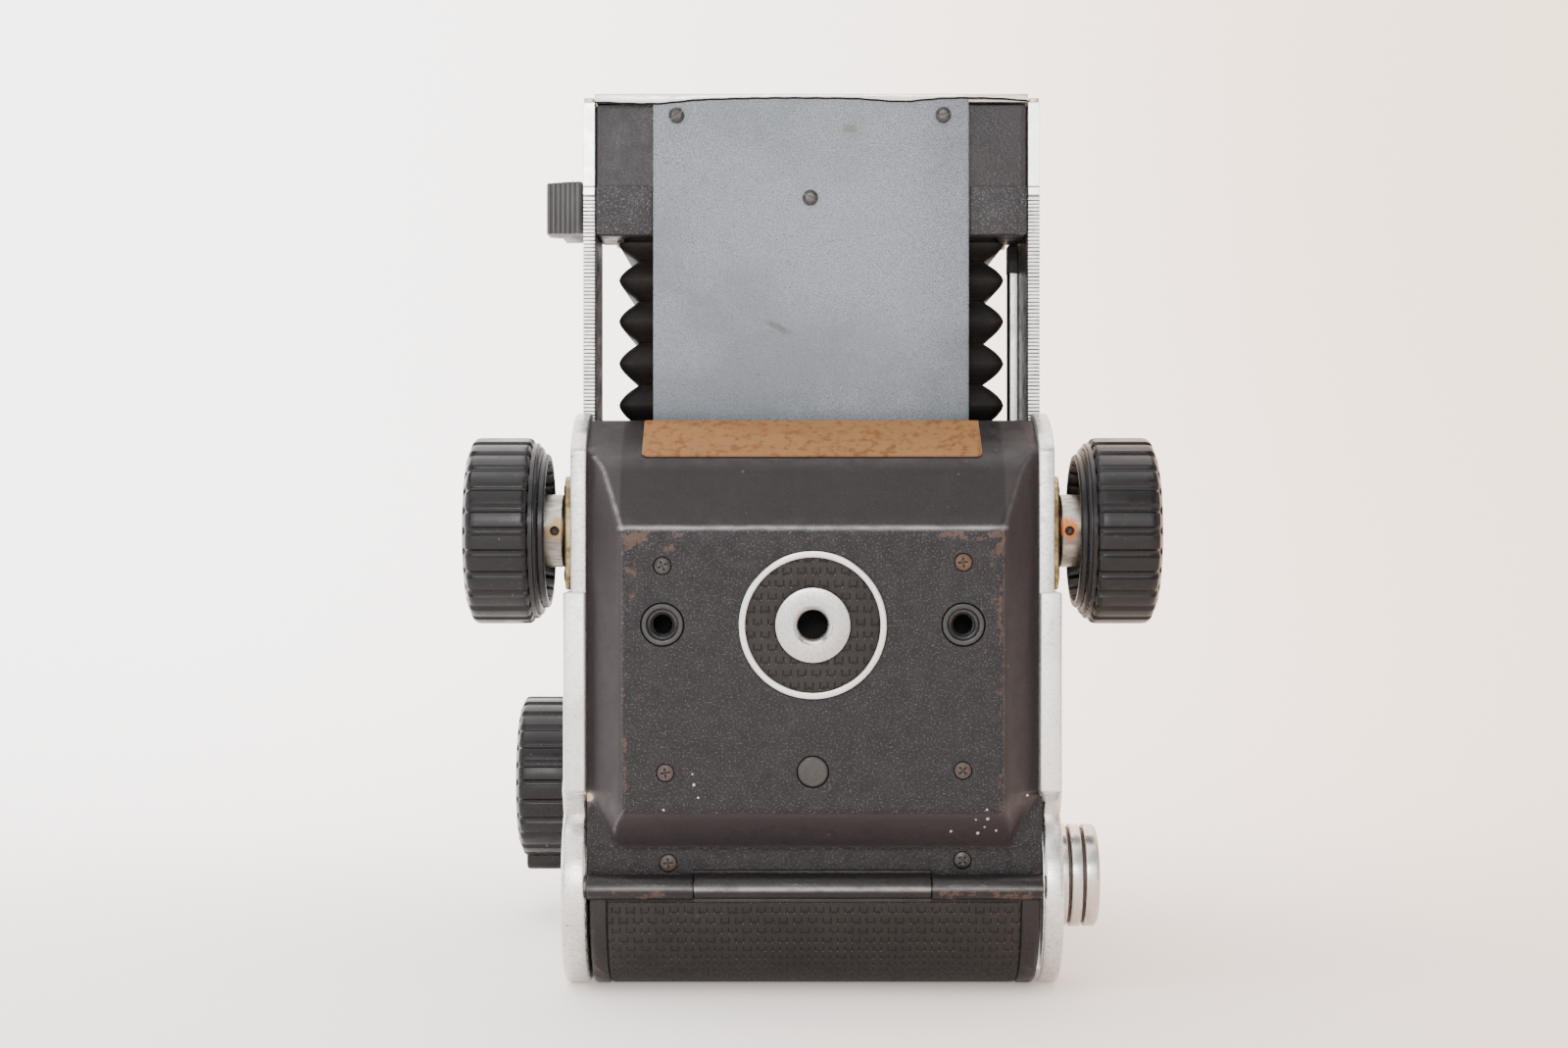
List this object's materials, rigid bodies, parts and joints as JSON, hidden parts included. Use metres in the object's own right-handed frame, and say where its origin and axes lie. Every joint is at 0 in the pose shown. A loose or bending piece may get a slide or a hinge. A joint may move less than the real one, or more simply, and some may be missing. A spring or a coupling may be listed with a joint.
{
  "type": "twin-lens reflex camera body",
  "caption": "Medium-format camera body with rack-driven bellows focusing, a folding viewing hood and a wrapped back door, without its lens unit.",
  "frame": {"origin": "bottom centre of the bounding box: the camera lies on its back door, the door's flat at Z = 0", "axes": "+Z is the lens (front) direction, -Y is the tripod base, +Y is the viewing hood, X runs across the knobs"},
  "size_m": [0.1204, 0.1666, 0.1578],
  "materials": {
    "black_paint": "semi-gloss black crinkle paint over brass, worn to brown and bright metal along edges",
    "satin_aluminium": "satin anodised, small scratches",
    "polished_chrome": "turned and polished",
    "black_plastic": "moulded, slightly glossy",
    "leatherette": "embossed repeating pattern",
    "bellows_cloth": "matt black coated cloth, worn at the folds",
    "grey_hammertone": "blue-grey fine hammertone paint",
    "tan_plate": "tarnished gold anodised, blank",
    "steel": "machined",
    "screw_steel": "blackened, rust in the slots",
    "brass": "cut teeth",
    "mirror": "front-silvered glass",
    "screen_glass": "ground on the inner face",
    "matt_black": "matt black inside paint"
  },
  "bodies": {
    "root": {"body_shell": "matt_black", "base_cover": "black_paint", "nameplate": "tan_plate", "side_plate_left": "satin_aluminium", "side_plate_right": "satin_aluminium", "side_cover_left": "satin_aluminium", "side_cover_right": "satin_aluminium", "side_leather_left": "leatherette", "side_leather_right": "leatherette", "tripod_bush": "satin_aluminium", "tripod_ring": "satin_aluminium", "tripod_leather": "leatherette", "accessory_bush_left": "screw_steel", "accessory_bush_right": "screw_steel", "base_plug": "black_paint", "base_screw_1": "screw_steel", "base_screw_2": "screw_steel", "base_screw_3": "screw_steel", "base_screw_4": "screw_steel", "base_screw_5": "screw_steel", "base_screw_6": "screw_steel", "shaft_flange_left": "steel", "shaft_flange_right": "steel", "hinge_pin": "steel", "viewing_mirror": "mirror", "focusing_screen": "screen_glass", "hood_base": "black_paint", "film_roller_lower": "steel", "film_roller_upper": "steel", "bellows": "bellows_cloth"},
    "standard": {"lens_standard": "black_paint", "front_plate": "satin_aluminium", "rail_left": "satin_aluminium", "rail_right": "satin_aluminium", "bellows_guard": "grey_hammertone", "guard_screw_1": "screw_steel", "guard_screw_2": "screw_steel", "guard_screw_3": "screw_steel", "scale_bar": "satin_aluminium"},
    "bail": {"lens_bail": "steel"},
    "release": {"release_lever": "black_plastic"},
    "focus_drive": {"focus_shaft": "steel", "pinion_left": "steel", "pinion_right": "steel", "focus_knob_left": "black_plastic", "focus_knob_right": "black_plastic"},
    "advance": {"advance_knob": "black_plastic", "advance_gear": "brass"},
    "take_up": {"take_up_drive": "brass", "take_up_spool": "black_plastic"},
    "supply_pull": {"supply_pull_knob": "polished_chrome"},
    "take_up_pull": {"take_up_pull_knob": "polished_chrome"},
    "door": {"back_door": "black_paint", "door_leather": "leatherette"},
    "pressure": {"pressure_plate": "steel"},
    "latch": {"door_latch": "steel"},
    "hood_top": {"hood_lid": "black_paint"},
    "hood_back": {"hood_back_flap": "black_paint"},
    "hood_left": {"hood_side_flap_left": "black_paint"},
    "hood_right": {"hood_side_flap_right": "black_paint"}
  },
  "joints": [
    {"name": "focus_slide", "type": "slide", "parent": "root", "child": "standard", "axis": [0, 0, 1], "range_m": [-0.032, 0.02], "deforming": ["bellows"]},
    {"name": "focus_turn", "type": "hinge", "parent": "root", "child": "focus_drive", "pos_m": [0, -0.06475, 0.0802], "axis": [1, 0, 0], "range_deg": [-450, 285]},
    {"name": "lens_bail_swing", "type": "hinge", "parent": "standard", "child": "bail", "pos_m": [0, -0.02275, 0.1542], "axis": [1, 0, 0], "range_deg": [0, 85]},
    {"name": "release_press", "type": "slide", "parent": "standard", "child": "release", "axis": [0, -1, 0], "range_m": [0, 0.004], "stiffness_N_per_m": 250, "springref_m": -0.001},
    {"name": "advance_turn", "type": "hinge", "parent": "root", "child": "advance", "pos_m": [0, 0.02725, 0.0282], "axis": [1, 0, 0], "continuous": true},
    {"name": "take_up_turn", "type": "hinge", "parent": "root", "child": "take_up", "pos_m": [0, 0.02725, 0.0173], "axis": [1, 0, 0], "continuous": true},
    {"name": "supply_pull_out", "type": "slide", "parent": "root", "child": "supply_pull", "axis": [1, 0, 0], "range_m": [0, 0.006], "stiffness_N_per_m": 300, "springref_m": -0.001},
    {"name": "take_up_pull_out", "type": "slide", "parent": "root", "child": "take_up_pull", "axis": [1, 0, 0], "range_m": [0, 0.006], "stiffness_N_per_m": 300, "springref_m": -0.001},
    {"name": "door_swing", "type": "hinge", "parent": "root", "child": "door", "pos_m": [0, -0.07775, 0.0192], "axis": [-1, 0, 0], "range_deg": [0, 115]},
    {"name": "pressure_press", "type": "slide", "parent": "door", "child": "pressure", "axis": [0, 0, -1], "range_m": [0, 0.001], "stiffness_N_per_m": 900, "springref_m": -0.003},
    {"name": "latch_slide", "type": "slide", "parent": "door", "child": "latch", "axis": [1, 0, 0], "range_m": [0, 0.004], "stiffness_N_per_m": 250, "springref_m": -0.001},
    {"name": "hood_lid_swing", "type": "hinge", "parent": "root", "child": "hood_top", "pos_m": [0, 0.08075, 0.0982], "axis": [1, 0, 0], "range_deg": [0, 90]},
    {"name": "hood_back_swing", "type": "hinge", "parent": "root", "child": "hood_back", "pos_m": [0, 0.0794, 0.038], "axis": [-1, 0, 0], "range_deg": [0, 90]},
    {"name": "hood_left_swing", "type": "hinge", "parent": "root", "child": "hood_left", "pos_m": [-0.0347, 0.0794, 0.0675], "axis": [0, 0, 1], "range_deg": [0, 90]},
    {"name": "hood_right_swing", "type": "hinge", "parent": "root", "child": "hood_right", "pos_m": [0.0347, 0.0794, 0.0675], "axis": [0, 0, -1], "range_deg": [0, 90]}
  ],
  "couplings": [
    {"joint": "focus_turn", "follows": "focus_slide", "rad_per_m": 242.41},
    {"joint": "take_up_turn", "follows": "advance_turn", "ratio": -1},
    {"joint": "hood_back_swing", "follows": "hood_lid_swing", "ratio": 1},
    {"joint": "hood_left_swing", "follows": "hood_lid_swing", "ratio": 1},
    {"joint": "hood_right_swing", "follows": "hood_lid_swing", "ratio": 1}
  ]
}
